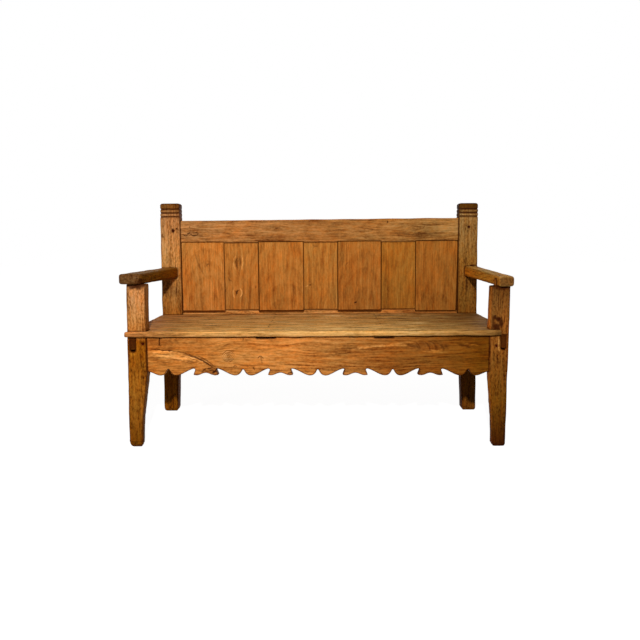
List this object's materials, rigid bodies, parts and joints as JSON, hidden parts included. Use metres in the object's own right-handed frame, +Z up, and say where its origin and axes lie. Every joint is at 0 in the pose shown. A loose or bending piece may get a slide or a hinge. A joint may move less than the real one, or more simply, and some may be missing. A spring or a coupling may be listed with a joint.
{
  "type": "panelled back settle bench",
  "caption": "Long pegged wooden bench with a fixed panelled back, two open arms, a nailed board seat and a scalloped apron.",
  "frame": {"origin": "floor point under the centre of the bench's bounding box", "axes": "+X along the bench, to the right as seen from the front, +Y from the front to the back, +Z up"},
  "size_m": [1.4924, 0.555, 0.975],
  "materials": {
    "old_pine": "satin",
    "dark_pine": "satin",
    "worn_pine": "satin",
    "peg_oak": "satin",
    "nail_iron": "dull"
  },
  "bodies": {
    "root": {"front_leg_left": "dark_pine", "front_leg_right": "dark_pine", "rear_post_left": "dark_pine", "rear_post_right": "dark_pine", "side_rail_left": "old_pine", "side_rail_right": "old_pine", "arm_left": "dark_pine", "arm_right": "dark_pine", "front_apron": "old_pine", "top_rail": "old_pine", "back_bottom_rail": "old_pine", "back_panel_1": "old_pine", "back_panel_2": "old_pine", "back_panel_3": "old_pine", "back_panel_4": "old_pine", "back_muntin_1": "old_pine", "back_muntin_2": "old_pine", "back_muntin_3": "old_pine", "seat_board_1": "worn_pine", "seat_board_2": "worn_pine", "seat_board_3": "worn_pine", "seat_board_4": "worn_pine", "seat_bearer_left": "old_pine", "seat_bearer_right": "old_pine", "apron_pegs": "peg_oak", "top_rail_pegs": "peg_oak", "bottom_rail_pegs": "peg_oak", "side_rail_pegs": "peg_oak", "arm_pegs": "peg_oak", "seat_nails": "nail_iron"}
  },
  "joints": []
}
